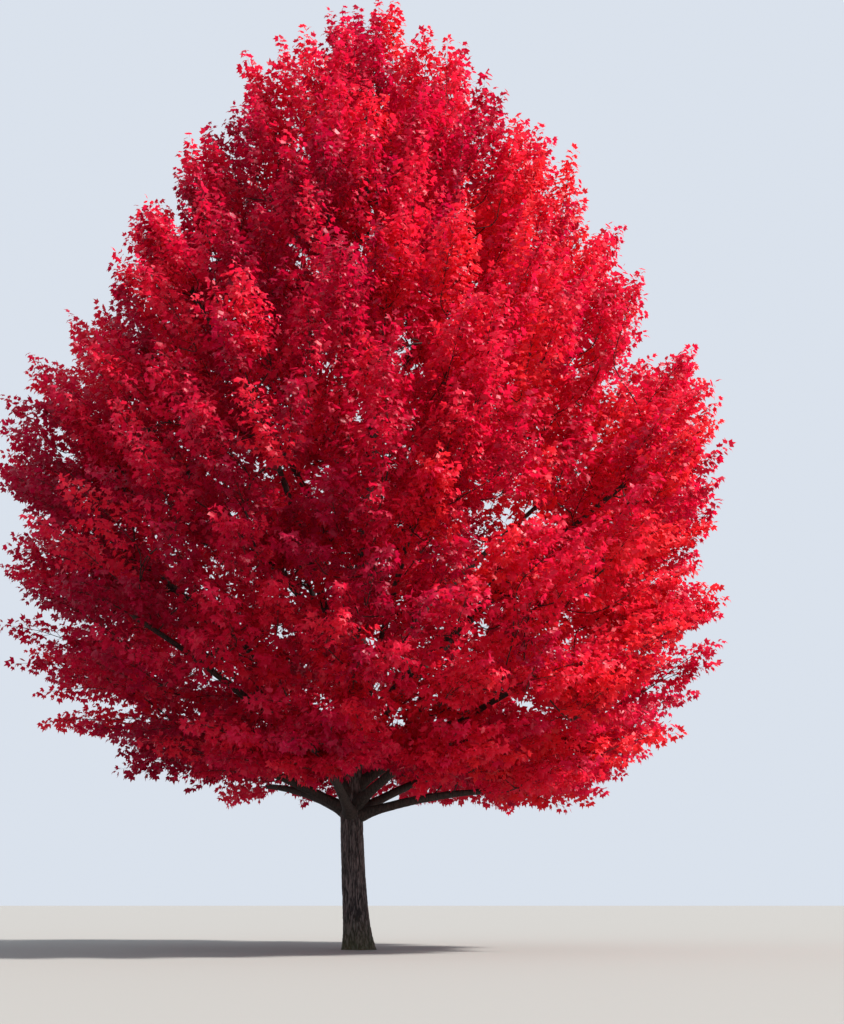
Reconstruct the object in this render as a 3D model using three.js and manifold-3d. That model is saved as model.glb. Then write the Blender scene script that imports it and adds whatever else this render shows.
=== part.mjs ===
// A freeman maple in full autumn leaf, about 15 m tall, as a three.js scene graph.
// One trunk runs up through the crown as a leader. Boughs leave it in a spiral and rise towards the
// crown's outline, and each ends where it enters its own mass of foliage. A mass is one solid: a stem
// that carries on from the bough's tip, twigs that branch from it, a broad lobed blade on each twig
// that stands for a spray of leaves, and a small spiky core that they stand out of.
// Millimetres, +Z up. The origin is the middle of the flat cut under the trunk, at ground level.

import * as THREE from "three";
import { mergeVertices } from "three/addons/utils/BufferGeometryUtils.js";
import Module from "manifold-3d";

const wasm = await Module();
wasm.setup();

// The whole tree
const treeHeight = 15000;
const crownRadius = 5550;
const widestHeight = 7200;
const skirtHeight = 1850; // the lowest leaves
const skirtTuck = 0.5; // share of the radius lost from the widest height down to the skirt
const skirtCurve = 5;
const topCurve = 1.25; // these two shape the outline from the widest height up to the tip
const topRound = 0.65;
const crownSwell = 0.05; // how far the outline swells and sinks round the crown
const swellHeight = 1500;
const seed = 7;

// The trunk
const trunkRadius = 170; // at breast height
const breastHeight = 1300;
const trunkTaper = 0.95;
const trunkEnd = 11900; // where the leader enters the top mass
const flareRadius = 60; // added at the ground by the roots' flare
const flareFade = 260;
const flareLobes = 5;
const flareDepth = 0.45;
const leanAtTop = 240;
const swayAcross = 200;
const swayAcrossHeight = 6600; // height of half a wave of sway
const swayDeep = 90;
const swayDeepHeight = 5600;
const trunkSides = 12;
const trunkSteps = 12;
const trunkStepPower = 1.6; // the steps are shorter near the ground

// The boughs
const boughCount = 26;
const firstAzimuth = THREE.MathUtils.degToRad(-14);
const goldenAngle = Math.PI * (3 - Math.sqrt(5));
const lowestFoot = 1850;
const highestFoot = 10300;
const footPower = 2.2; // feet crowd together low on the trunk
const firstTipShare = 0.03; // of the crown's surface, from the skirt up
const lastTipShare = 0.955;
const boughShare = 0.46; // of a limb's line, from the trunk's middle to the mass
const boughToTrunk = 0.44; // a bough's radius at its foot, to the trunk's there
const limbEndRadius = 14;
const limbTaper = 0.85;
const archLow = 0.13; // how far a low limb arches up over its chord, as a share of its length
const archHigh = -0.04;
const lineSteps = 14; // straight steps that a limb's line is measured by
const boughSides = 6;
const boughSteps = 3;
const stemSides = 4;
const stemSteps = 2;

// The foliage. A spray is a twig that ends in one broad lobed blade.
const sprayCount = 530; // places tried, of which fewer than half have room
const bladeLength = 1500;
const bladeWidth = 1550; // across the tips of the two side lobes
const bladeThickness = 110;
const lobeReach = 0.44; // of the blade's length, from its neck to the middle of its widest part
const lobeSweep = 0.14; // how much further forward the side lobes' tips lie
const notchReach = 0.64; // to the notches between the side lobes and the middle lobe
const notchWidth = 0.4; // of the blade's width
const notchThickness = 0.8; // of the blade's thickness
const bladeSides = 4;
const bladeSizes = [1, 0.8]; // tried in turn where there is little room
const bladeTurns = [0, 28, -28, 56, -56].map(THREE.MathUtils.degToRad);
const bladeRoll = THREE.MathUtils.degToRad(60); // at most, to either side
const bladeSlack = 350; // how far a blade may reach beyond the crown's outline
const deepLayer = 1200; // every third spray sits this much deeper in the crown
const lowSprayPitch = 0;
const highSprayPitch = THREE.MathUtils.degToRad(80);
const pitchPower = 0.6; // sprays turn up quickly above the skirt
const pitchSpread = 0.4;
const headingSpread = 0.5;
const twigFootRadius = 34;
const twigNeckRadius = 20;
const twigBend = 0.3; // how far a twig follows its parent's way, as a share of its reach
const twigClearFrom = 0.25; // a twig's foot may touch its parent and its siblings up to here
const twigShoot = 0.5; // where further twigs may grow from a twig
const longTwig = 1300; // a twig longer than this is bent in the middle
const woodNodes = 8; // places along a stem that twigs may grow from
const sidewaysCost = 1.7; // 1 or more: the lower, the more a twig avoids turning back
const coreShare = 0.56; // of the way from a mass's middle to the border of its space
const coreBackShare = 0.85; // of the way back to the bough's tip
const coreLimit = 1100;
const coreMarch = 60;
const coreSpikes = 0.3; // how far the core's main corners stand out and the others sink in
const coreRoughness = 0.35;

// Clearances
const seatGap = 0.3; // between solids that touch on the real tree
const borderGap = 70; // between two masses, measured as the difference of the ways to their limbs
const limbGap = 25; // between foliage and any limb but its own stem
const bladeGap = 15; // between a blade and the other twigs and blades of its mass
const sliver = 3; // edges shorter than this are cleaned away after solids are joined

const up = new THREE.Vector3(0, 0, 1);

// A repeatable number from 0 to 1.
function chance(index, salt) {
  const wave = Math.sin(index * 12.9898 + salt * 78.233 + seed) * 43758.5453;
  return wave - Math.floor(wave);
}

// The middle of the trunk at a height, which is also the crown's middle there.
function trunkLine(height) {
  const fade = 1 - height / treeHeight;
  const across = Math.sin((Math.PI * height) / swayAcrossHeight);
  const deep = Math.sin((Math.PI * height) / swayDeepHeight);
  const lean = (leanAtTop * height) / treeHeight;
  return new THREE.Vector3(lean - swayAcross * across * fade, swayDeep * deep * fade, height);
}

function trunkRadiusAt(height) {
  const taper = (treeHeight - height) / (treeHeight - breastHeight);
  return trunkRadius * Math.pow(taper, trunkTaper);
}

// The crown's radius at a height, round and even.
function outlineRadius(height) {
  const above = (height - widestHeight) / (treeHeight - widestHeight);
  if (above > 0) return crownRadius * Math.pow(Math.max(0, 1 - Math.pow(above, topCurve)), topRound);
  const below = (widestHeight - height) / (widestHeight - skirtHeight);
  return crownRadius * (1 - skirtTuck * Math.pow(below, skirtCurve));
}

// The crown's radius with its swells.
function crownRadiusAt(azimuth, height) {
  const turn = height / swellHeight;
  const swell = Math.sin(3 * azimuth + turn) + Math.sin(5 * azimuth - 1.7 * turn);
  return outlineRadius(height) * (1 + 0.5 * crownSwell * swell);
}

// A point on the crown's outline.
function crownPoint(azimuth, height) {
  const radius = crownRadiusAt(azimuth, height);
  const outwards = new THREE.Vector3(Math.cos(azimuth), Math.sin(azimuth), 0);
  return trunkLine(height).addScaledVector(outwards, radius);
}

// Whether a point lies inside the crown's outline grown by some slack.
function inCrown(point, slack) {
  if (point.z < skirtHeight - slack || point.z > treeHeight + slack) return false;
  const offset = point.clone().sub(trunkLine(point.z));
  const radius = crownRadiusAt(Math.atan2(offset.y, offset.x), Math.min(point.z, treeHeight));
  return Math.hypot(offset.x, offset.y) < radius + slack;
}

// Running totals of the crown's surface from the skirt up, one for each band.
const bandCount = 300;
const bandHeight = (treeHeight - skirtHeight) / bandCount;
const bandTotals = [0];
for (let band = 0; band < bandCount; band++) {
  const low = outlineRadius(skirtHeight + band * bandHeight);
  const high = outlineRadius(skirtHeight + (band + 1) * bandHeight);
  bandTotals.push(bandTotals[band] + (low + high) * Math.hypot(bandHeight, high - low));
}

// The height below which a share of the crown's surface lies.
function heightAtShare(share) {
  const wanted = share * bandTotals[bandCount];
  const band = bandTotals.findIndex((total) => total > wanted) - 1;
  const part = (wanted - bandTotals[band]) / (bandTotals[band + 1] - bandTotals[band]);
  return skirtHeight + (band + part) * bandHeight;
}

// The line of a limb from the trunk's middle to the crown's outline: a bough, then its mass's stem.
function limbLine(index) {
  const along = index / (boughCount - 1);
  const share = THREE.MathUtils.lerp(firstTipShare, lastTipShare, along);
  const end = crownPoint(firstAzimuth + index * goldenAngle, heightAtShare(share));
  const rise = (end.z - skirtHeight) / (treeHeight - skirtHeight);
  const foot = trunkLine(lowestFoot + (highestFoot - lowestFoot) * Math.pow(rise, footPower));
  const middle = foot.clone().lerp(end, 0.5);
  middle.z += foot.distanceTo(end) * THREE.MathUtils.lerp(archLow, archHigh, rise);
  return new THREE.QuadraticBezierCurve3(foot, middle, end);
}

// The trunk's line between two heights.
class HeightLine extends THREE.Curve {
  constructor(low, high) {
    super();
    this.low = low;
    this.high = high;
  }

  getPoint(t) {
    return trunkLine(THREE.MathUtils.lerp(this.low, this.high, t));
  }
}

// A closed body through a row of rings. Each ring has a middle, two directions square to each other,
// the half sizes that it has along them, and how far its sides are swept towards the next ring.
function loft(rings, sides) {
  const geometry = new THREE.CylinderGeometry(1, 1, 1, sides, rings.length - 1);
  const position = geometry.getAttribute("position");
  const point = new THREE.Vector3();
  for (let i = 0; i < position.count; i++) {
    point.fromBufferAttribute(position, i);
    const ring = rings[Math.round((point.y + 0.5) * (rings.length - 1))];
    const angle = Math.atan2(point.z, point.x);
    const bulge = ring.bulge ? ring.bulge(angle) : 0;
    const place = ring.middle.clone();
    place.addScaledVector(ring.across, point.x * (ring.wide + bulge));
    place.addScaledVector(ring.deep, point.z * (ring.thick + bulge));
    if (ring.sweep) place.addScaledVector(ring.sweep, Math.abs(point.x));
    position.setXYZ(i, place.x, place.y, place.z);
  }
  return geometry;
}

// A round ring square to a direction, turned so that its sides face a given way.
function roundRing(middle, along, side, radius, bulge) {
  const across = side.clone().addScaledVector(along, -side.dot(along)).normalize();
  const deep = across.clone().cross(along);
  return { middle, across, deep, wide: radius, thick: radius, bulge };
}

// Round rings along a curve from one share of it to another.
function ringsAlong(curve, from, to, radiusAt, steps, side = levelSide(curve.getTangent(from))) {
  const rings = [];
  for (let step = 0; step <= steps; step++) {
    const t = from + ((to - from) * step) / steps;
    rings.push(roundRing(curve.getPoint(t), curve.getTangent(t), side, radiusAt(t)));
  }
  return rings;
}

// A level direction square to another direction.
function levelSide(direction) {
  const side = direction.clone().cross(up);
  return side.lengthSq() < 1e-4 ? new THREE.Vector3(0, 1, 0) : side.normalize();
}

// A closed geometry as a solid. Faces that a point of the shape has collapsed are left out.
function solidOf(geometry) {
  geometry.deleteAttribute("normal");
  geometry.deleteAttribute("uv");
  const merged = mergeVertices(geometry, 1e-3);
  const vertProperties = new Float32Array(merged.getAttribute("position").array);
  const corners = [];
  for (let i = 0; i < merged.index.count; i += 3) {
    const [a, b, c] = [0, 1, 2].map((k) => merged.index.getX(i + k));
    if (a !== b && b !== c && c !== a) corners.push(a, b, c);
  }
  const triVerts = new Uint32Array(corners);
  return new wasm.Manifold(new wasm.Mesh({ numProp: 3, vertProperties, triVerts }));
}

function geometryOf(solid) {
  const mesh = solid.getMesh();
  const position = new THREE.BufferAttribute(new Float32Array(mesh.vertProperties), 3);
  const geometry = new THREE.BufferGeometry().setAttribute("position", position);
  geometry.setIndex(new THREE.BufferAttribute(new Uint32Array(mesh.triVerts), 1));
  return geometry;
}

function largestBody(solid) {
  const bodies = solid.decompose();
  return bodies.reduce((best, body) => (body.volume() > best.volume() ? body : best));
}

// The largest body of a solid, with loose scraps and sealed hollows left behind. A second look, after
// the rounding of its vertices, finds the hollows that hung on by a single corner.
function mainBody(solid, tolerance) {
  const body = largestBody(solid.simplify(tolerance));
  return largestBody(solidOf(geometryOf(body)));
}

// The trunk, whose flare swells into lobes where the main roots leave. Its rings are level.
function trunkSolid(grow) {
  const rings = [];
  const side = new THREE.Vector3(1, 0, 0);
  for (let step = 0; step <= trunkSteps; step++) {
    const height = trunkEnd * Math.pow(step / trunkSteps, trunkStepPower);
    const flare = flareRadius * Math.exp(-height / flareFade);
    const bulge = (angle) => flare * (1 + flareDepth * Math.cos(flareLobes * angle));
    rings.push(roundRing(trunkLine(height), up, side, trunkRadiusAt(height) + grow, bulge));
  }
  return solidOf(loft(rings, trunkSides));
}

// A limb's radius along its line.
function limbRadiusAt(limb, t) {
  return limbEndRadius + (limb.footRadius - limbEndRadius) * Math.pow(1 - t, limbTaper);
}

// Every limb, as the line that its bough and its mass's stem follow.
const limbs = [];
for (let index = 0; index < boughCount; index++) {
  const curve = limbLine(index);
  limbs.push({
    name: String(index + 1).padStart(2, "0"),
    curve,
    footRadius: boughToTrunk * trunkRadiusAt(curve.v0.z),
    stemFrom: boughShare,
    stemTo: 1 - bladeLength / curve.getLength(),
    line: curve.getPoints(lineSteps),
  });
}
const leader = new HeightLine(trunkEnd, treeHeight);
limbs.push({
  name: "top",
  curve: leader,
  footRadius: trunkRadiusAt(trunkEnd),
  stemFrom: 0,
  stemTo: 1 - bladeLength / leader.getLength(),
  line: leader.getPoints(lineSteps),
});
const trunkSpine = new HeightLine(0, trunkEnd).getPoints(lineSteps);

const nearest = new THREE.Vector3();
const segment = new THREE.Line3();

function distanceToLine(point, line) {
  let best = Infinity;
  for (let i = 1; i < line.length; i++) {
    segment.set(line[i - 1], line[i]).closestPointToPoint(point, true, nearest);
    best = Math.min(best, nearest.distanceTo(point));
  }
  return best;
}

// The space of a mass is all that lies nearer to its own limb than to any other limb or the trunk.
function ownerOf(point) {
  let owner = null;
  let near = Infinity;
  let next = distanceToLine(point, trunkSpine);
  for (const limb of limbs) {
    const distance = distanceToLine(point, limb.line);
    if (distance < near) {
      next = Math.min(next, near);
      near = distance;
      owner = limb;
    } else next = Math.min(next, distance);
  }
  return { owner, spare: next - near };
}

function inSpace(point, limb, slack) {
  if (!inCrown(point, slack)) return false;
  const { owner, spare } = ownerOf(point);
  return owner === limb && spare > borderGap;
}

// Where each spray of leaves ends, the way it points, and the twig's end that bears it. The tips lie
// evenly over the crown's outline, and every third one lies deeper.
function makeSprays() {
  const sprays = [];
  for (let index = 0; index < sprayCount; index++) {
    const share = (index + 0.5) / sprayCount;
    const azimuth = index * goldenAngle + 0.5 * chance(index, 1);
    const tip = crownPoint(azimuth, heightAtShare(share));
    const rise = (tip.z - skirtHeight) / (treeHeight - skirtHeight);
    const steep = THREE.MathUtils.lerp(lowSprayPitch, highSprayPitch, Math.pow(rise, pitchPower));
    const pitch = steep + pitchSpread * (chance(index, 2) - 0.5);
    const heading = azimuth + headingSpread * (chance(index, 3) - 0.5);
    const way = new THREE.Vector3(Math.cos(heading), Math.sin(heading), Math.tan(pitch)).normalize();
    if (index % 3 === 2) tip.addScaledVector(way, -deepLayer);
    const roll = bladeRoll * (2 * chance(index, 4) - 1);
    sprays.push({ way, roll, end: tip.clone().addScaledVector(way, -bladeLength) });
  }
  return sprays;
}

// The rings of a blade from its neck to its tip: a flat body with a middle lobe and two side lobes.
function bladeRings(neck, way, flat, size) {
  const across = flat.clone().cross(way).normalize();
  const deep = across.clone().cross(way);
  const length = bladeLength * size;
  const ring = (share, wide, thick, sweep = 0) => ({
    middle: neck.clone().addScaledVector(way, share * length),
    across,
    deep,
    wide: 0.5 * wide * bladeWidth * size,
    thick: 0.5 * thick * bladeThickness * size,
    sweep: way.clone().multiplyScalar(sweep * length),
  });
  return [
    roundRing(neck, way, across, twigNeckRadius),
    ring(lobeReach, 1, 1, lobeSweep),
    ring(notchReach, notchWidth, notchThickness),
    ring(1, 0, 0),
  ];
}

// The rings of the blade on a twig's end, turned and then made smaller until it keeps to its limb's
// space and touches nothing.
function placeBlade(spray, limb, clear) {
  const lift = up.clone().addScaledVector(spray.way, -up.dot(spray.way)).normalize();
  const flat = lift.applyAxisAngle(spray.way, spray.roll);
  for (const size of bladeSizes) {
    for (const turn of bladeTurns) {
      const way = spray.way.clone().applyAxisAngle(flat, turn);
      const rings = bladeRings(spray.end, way, flat, size);
      const geometry = loft(rings, bladeSides);
      if (fits(geometry, limb) && clear(solidOf(geometry))) return rings;
    }
  }
  return null;
}

// Whether all of a small solid's corners and the middles of its edges lie in the limb's space.
function fits(geometry, limb) {
  const position = geometry.toNonIndexed().getAttribute("position");
  const corner = new THREE.Vector3();
  const following = new THREE.Vector3();
  for (let i = 0; i < position.count; i++) {
    corner.fromBufferAttribute(position, i);
    following.fromBufferAttribute(position, i - (i % 3) + ((i + 1) % 3));
    if (!inSpace(corner, limb, bladeSlack)) return false;
    if (!inSpace(following.lerp(corner, 0.5), limb, bladeSlack)) return false;
  }
  return true;
}

// The node of wood that a twig to a place best grows from: near, and not behind the wood's own way.
function bestWood(wood, place) {
  const cost = (node) => {
    const reach = place.clone().sub(node.point);
    return reach.length() * (sidewaysCost - reach.normalize().dot(node.way));
  };
  return wood.reduce((best, node) => (cost(node) < cost(best) ? node : best));
}

// How far a direction can be followed from a point inside the limb's space and the crown.
function marchOut(point, way, limit, limb) {
  let reach = 0;
  while (reach < limit && inSpace(point.clone().addScaledVector(way, reach), limb, 0)) {
    reach += coreMarch;
  }
  return reach;
}

// A spiky core whose corners lie part of the way from the stem's middle to the border of the space,
// and keep beyond the bough's tip.
function coreGeometry(limb) {
  const middle = (limb.stemFrom + limb.stemTo) / 2;
  const centre = limb.curve.getPoint(middle);
  const onwards = limb.curve.getTangent(middle);
  const room = coreBackShare * centre.distanceTo(limb.curve.getPoint(limb.stemFrom));
  const geometry = new THREE.IcosahedronGeometry(1, 1);
  const position = geometry.getAttribute("position");
  const way = new THREE.Vector3();
  for (let i = 0; i < position.count; i++) {
    way.fromBufferAttribute(position, i).normalize();
    const reach = marchOut(centre, way, coreLimit / coreShare, limb);
    const spike = coreSpikes * (isSpike(way) ? 1 : -1);
    const rough = 1 + spike + coreRoughness * (chance(way.x + 2 * way.y, 5 + way.z) - 0.5);
    const behind = Math.max(1e-6, -way.dot(onwards));
    const radius = Math.min(reach * coreShare * rough, room / behind);
    const place = centre.clone().addScaledVector(way, Math.max(limbEndRadius, radius));
    position.setXYZ(i, place.x, place.y, place.z);
  }
  return geometry;
}

// Whether a direction is one of the icosahedron's twelve first corners.
const spikeCorners = new THREE.IcosahedronGeometry(1, 0).getAttribute("position");

function isSpike(way) {
  const corner = new THREE.Vector3();
  for (let i = 0; i < spikeCorners.count; i++) {
    if (corner.fromBufferAttribute(spikeCorners, i).distanceTo(way) < 0.01) return true;
  }
  return false;
}

function twigRadiusAt(t) {
  return THREE.MathUtils.lerp(twigFootRadius, twigNeckRadius, t);
}

function apart(solid, others, gap) {
  return others.every((other) => solid.minGap(other, gap) >= gap);
}

// A spray, as one solid of its twig and blade from the wood that it grows on, or nothing where it has
// no room. What it takes up is noted for the sprays that come after.
function growSpray(spray, limb, wood, taken, seated, twigClear, bladeClear) {
  const from = bestWood(wood, spray.end);
  const reach = from.point.distanceTo(spray.end);
  const bend = from.point.clone().addScaledVector(from.way, twigBend * reach);
  const straight = reach < longTwig;
  const curve = straight
    ? new THREE.LineCurve3(from.point, spray.end)
    : new THREE.QuadraticBezierCurve3(from.point, bend, spray.end);
  const outer = loft(ringsAlong(curve, twigClearFrom, 1, twigRadiusAt, 1), bladeSides);
  if (!fits(outer, limb)) return null;
  const twig = solidOf(outer);
  if (!twigClear(twig)) return null;
  const blade = placeBlade(spray, limb, bladeClear);
  if (!blade) return null;
  const rings = ringsAlong(curve, 0, 1, twigRadiusAt, straight ? 1 : 2, blade[1].across);
  rings.pop();
  const whole = solidOf(loft([...rings, ...blade], bladeSides));
  if (!seated(whole)) return null;
  taken.push(twig, solidOf(loft(blade, bladeSides)));
  wood.push({ point: curve.getPoint(twigShoot), way: curve.getTangent(twigShoot) });
  return whole;
}

// One mass of foliage on its limb: the stem with its own blade, the core, and every spray that has
// room.
function massSolid(limb, sprays, wooden) {
  const start = limb.curve.getPoint(limb.stemFrom);
  const stemStart = limb.stemFrom + seatGap / limb.curve.getLength();
  const radiusAt = (t) => limbRadiusAt(limb, t);
  const core = solidOf(coreGeometry(limb));
  const taken = [];
  const seated = (solid) => apart(solid, wooden, seatGap);
  const twigClear = (solid) => apart(solid, wooden, limbGap) && apart(solid, taken, bladeGap);
  const bladeClear = (solid) => twigClear(solid) && apart(solid, [core], bladeGap);
  const tipWay = limb.curve.getTangent(limb.stemTo);
  const tip = { end: limb.curve.getPoint(limb.stemTo), way: tipWay, roll: 0 };
  const tipBlade = placeBlade(tip, limb, twigClear);
  const side = tipBlade ? tipBlade[1].across : undefined;
  const stem = ringsAlong(limb.curve, stemStart, limb.stemTo, radiusAt, stemSteps, side);
  if (limb.curve === leader) stem[0] = roundRing(stem[0].middle, up, stem[0].across, radiusAt(0));
  if (tipBlade) {
    taken.push(solidOf(loft(tipBlade, bladeSides)));
    stem.pop();
    stem.push(...tipBlade);
  }
  const solids = [core, solidOf(loft(stem, stemSides))];
  const wood = [];
  for (let i = 1; i <= woodNodes; i++) {
    const t = THREE.MathUtils.lerp(limb.stemFrom, limb.stemTo, i / (woodNodes + 1));
    wood.push({ point: limb.curve.getPoint(t), way: limb.curve.getTangent(t) });
  }
  sprays.sort((a, b) => a.end.distanceTo(start) - b.end.distanceTo(start));
  for (const spray of sprays) {
    const solid = growSpray(spray, limb, wood, taken, seated, twigClear, bladeClear);
    if (solid) solids.push(solid);
  }
  return mainBody(wasm.Manifold.union(solids), sliver);
}

// Finishes
const bark = new THREE.MeshStandardMaterial({ color: 0x6b5f57, roughness: 0.95, metalness: 0 });
const limbBark = new THREE.MeshStandardMaterial({ color: 0x5b504b, roughness: 0.9, metalness: 0 });
const leafColours = [0xc4141f, 0xa90f24, 0xd42a22, 0xb8121c];

const tree = new THREE.Group();

function addNode(name, solid, material) {
  const mesh = new THREE.Mesh(geometryOf(solid), material);
  mesh.name = name;
  tree.add(mesh);
}

const trunk = trunkSolid(0);
const trunkWithGap = trunkSolid(seatGap);
addNode("trunk", trunk, bark);

const wooden = [trunk];
for (const limb of limbs) {
  if (limb.curve === leader) continue;
  const radiusAt = (t) => limbRadiusAt(limb, t);
  const rings = ringsAlong(limb.curve, 0, limb.stemFrom, radiusAt, boughSteps);
  const whole = solidOf(loft(rings, boughSides));
  const bough = mainBody(whole.subtract(trunkWithGap), 0.2 * seatGap);
  wooden.push(bough);
  addNode("bough_" + limb.name, bough, limbBark);
}

const sprays = makeSprays();
for (const spray of sprays) {
  const middle = spray.end.clone().addScaledVector(spray.way, 0.4 * bladeLength);
  spray.owner = ownerOf(middle).owner;
}
for (const limb of limbs) {
  const mine = sprays.filter((spray) => spray.owner === limb);
  const color = leafColours[limbs.indexOf(limb) % leafColours.length];
  const leaf = new THREE.MeshStandardMaterial({ color, roughness: 0.6, metalness: 0 });
  addNode("foliage_" + limb.name, massSolid(limb, mine, wooden), leaf);
}

export default tree;
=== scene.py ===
"""A freeman maple in full scarlet leaf, dressed over its solid model.

The trunk and the boughs follow the same lines as the solids and get the bark's relief. Each mass of
foliage becomes plumes of fine twigs and leaves that grow on from its bough by the solids' own rule.
Metres, +Z up. The origin is the middle of the trunk's foot, at ground level.
"""

import bpy
import math
import numpy as np
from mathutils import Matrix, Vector, noise


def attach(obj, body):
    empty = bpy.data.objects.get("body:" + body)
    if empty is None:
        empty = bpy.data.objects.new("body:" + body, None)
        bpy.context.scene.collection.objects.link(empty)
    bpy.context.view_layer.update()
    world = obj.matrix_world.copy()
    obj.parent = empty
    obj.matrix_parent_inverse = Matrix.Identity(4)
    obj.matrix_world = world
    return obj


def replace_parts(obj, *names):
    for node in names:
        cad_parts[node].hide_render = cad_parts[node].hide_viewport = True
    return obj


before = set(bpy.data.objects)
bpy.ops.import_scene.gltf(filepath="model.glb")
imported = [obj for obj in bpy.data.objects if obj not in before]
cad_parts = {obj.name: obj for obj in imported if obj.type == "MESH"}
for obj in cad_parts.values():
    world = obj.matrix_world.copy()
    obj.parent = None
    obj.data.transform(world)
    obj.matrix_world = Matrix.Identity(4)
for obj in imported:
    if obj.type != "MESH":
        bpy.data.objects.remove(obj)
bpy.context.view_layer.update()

# The tree's form, as its solids have it
tree_height = 15.0
crown_radius = 5.55
widest_height = 7.2
skirt_height = 1.85
skirt_tuck = 0.5
skirt_curve = 5
top_curve = 1.25
top_round = 0.65
crown_swell = 0.05  # how far the outline swells and sinks round the crown
swell_height = 1.5
swells_round = (3, 5)  # two waves round the crown, and how they wind upwards
swells_wind = (1, -1.7)
outline_steps = 300
seed = 7

trunk_radius = 0.17
breast_height = 1.3
trunk_taper = 0.95
trunk_end = 11.9
flare_radius = 0.06
flare_fade = 0.26
flare_lobes = 5
flare_depth = 0.45
lean_at_top = 0.24
sway_across = 0.2
sway_across_height = 6.6
sway_deep = 0.09
sway_deep_height = 5.6

bough_count = 26
first_azimuth = math.radians(-14)
golden_angle = math.pi * (3 - math.sqrt(5))
lowest_foot = 1.85
highest_foot = 10.3
foot_power = 2.2
first_tip_share = 0.03
last_tip_share = 0.955
bough_share = 0.46
bough_to_trunk = 0.44
limb_end_radius = 0.014
limb_taper = 0.85
arch_low = 0.13
arch_high = -0.04
line_steps = 14

low_pitch = 0.0
high_pitch = math.radians(80)
pitch_power = 0.6
pitch_spread = 0.4
heading_spread = 0.5
sideways_cost = 1.7  # 1 or more: the lower, the more a branch avoids turning back

# What only the finished tree has: first the bark
trunk_sides = 224
trunk_cuts = (10, 19)  # into rings, and each ring again
least_rise = 0.001  # an upright edge of the trunk's cylinder rises more than this
trunk_ring_power = 1.8  # the rings lie closer near the ground
furrow_spacing = 0.034  # across the trunk
furrow_stretch = 8.0  # how much longer than wide the bark's plates are
furrow_depth = 0.012
furrow_wander = 0.6  # how far the furrows stray sideways, against their spacing
wander_stretch = 2.5  # and how long each stray is
furrow_narrow = 3.5  # the higher, the narrower the furrows
flakes_per_metre = (90, 90, 25)
flake_depth = 0.003
furrow_fade = 6.0  # height over which old furrowed bark gives way to smooth young bark
young_bark = 0.3  # how deep its furrows are, against those of the old bark
moss_top = 0.5
bark_streaks = (1, 1, 0.15)  # its grain is drawn out upwards
# how much darker the deeper furrows are painted: painted shade
painted_furrow_shade = 0.3
shade_from = 0.3
shade_to = 0.62
grain_depth = 0.004
smooth_angle = math.radians(60)
limb_sides = 20
limb_rings = 36
limb_swell = 0.06  # how much a limb's thickness wanders
limb_swells = 9
limb_shift = 7  # so no two limbs swell alike
collar_swell = 0.55  # how far a bough swells where it leaves the trunk
collar_reach = 0.12

# The plumes of leafy twigs, each the size of one spray of the solids
plume_count = 835
azimuth_play = 0.5  # how far a plume may stand off its place round the crown
plume_length = 1.5
plume_spread = 0.25  # how much the lengths differ
end_length = 1.2  # of the plumes that the limbs end in
owner_place = 0.4  # of a plume's length, where the limb nearest to it is looked for
deep_every = 3  # every third plume sits deeper
deep_layer = 1.2  # and by how much
inner_count = 230  # plumes further in, which keep the sky from showing through the crown's middle
inner_slimmer = (0.25, 0.7)  # the inner plumes' crown is this much slimmer than the outer one
inner_top = 0.93  # and this share as high
inner_length = 1.5
sink_least = 0.08  # how far every plume's tip stays inside the crown's outline, and up to how far
sink_low = 1.1
sink_high = 0.35
sink_rise = 0.7  # under 1, so it lessens soonest low down
sink_power = 1.5  # over 1, so most tips lie near the outline
skirt_clear = (0.4, 1.5)  # how far the crown's underside lifts towards its edge, right and left
skirt_power = 2.5
plume_floor = 2.15  # no plume starts lower, and near the trunk the boughs are bare up to a bit more
bare_rise = 0.75
bare_radius = 1.6
shoulder_sink = (0.0, 0.06)  # how much slimmer its shoulders are than its outline, left and right
shoulder_height = 12.1
shoulder_spread = 2.0
tier_spacing = 0.85  # low plumes gather in loose layers
tier_pull = 0.95  # how strongly they do
tier_top = 0.55  # of the crown's height, where the layers have merged
tier_wander = (0.12, 0.08)  # how far the layers rise and sink round the crown, against their spacing
spires_from = 0.4  # of the crown's height, from which the plumes gather in spires
spires_full = 0.6  # and from which they do so fully
spires_round = 17  # spires side by side round the crown
spire_rise = 1.3  # from one row of spires to the next
spire_wind = 3  # rows that wind up round the crown
spire_pull = 0.8  # how strongly the plumes gather in them
spire_notch = 0.45  # how far the plumes between two spires stay back
open_top = 0.6  # of the crown's height, up to which it is open on the left
open_missing = 0.35  # where it is most open: share of plumes missing, and how much flatter they lie
open_level = 0.6
open_spacing = 0.45  # and how much further apart their leaves are
plume_lift_low = -0.25  # low plumes droop towards their tips and high ones turn up
plume_lift_high = 0.12

# The wood that bears them
wood_nodes = 10
wood_from = 0.5  # twigs grow from the outer half of a bough too
branch_rings = 6
branch_bend = 0.3
branch_nodes = (0.35, 0.6, 0.85)  # where further branches may grow from a branch
branch_sides = 5
branch_foot = 0.005  # the radius of its foot, and how much each plume beyond adds
branch_gain = 0.005
branch_power = 0.45
axis_radius = 0.007
axis_on_limb = 0.7  # against the end of the limb that it carries on
axis_rings = 4
twig_end = 0.001
shoot_radii = (0.0035, 0.0025, 0.001)
shoot_sides = 3
steep = 0.95  # a path that rises more than this has no level direction of its own
plumb = 0.05  # nor has a plume whose level part is less than this

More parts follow.
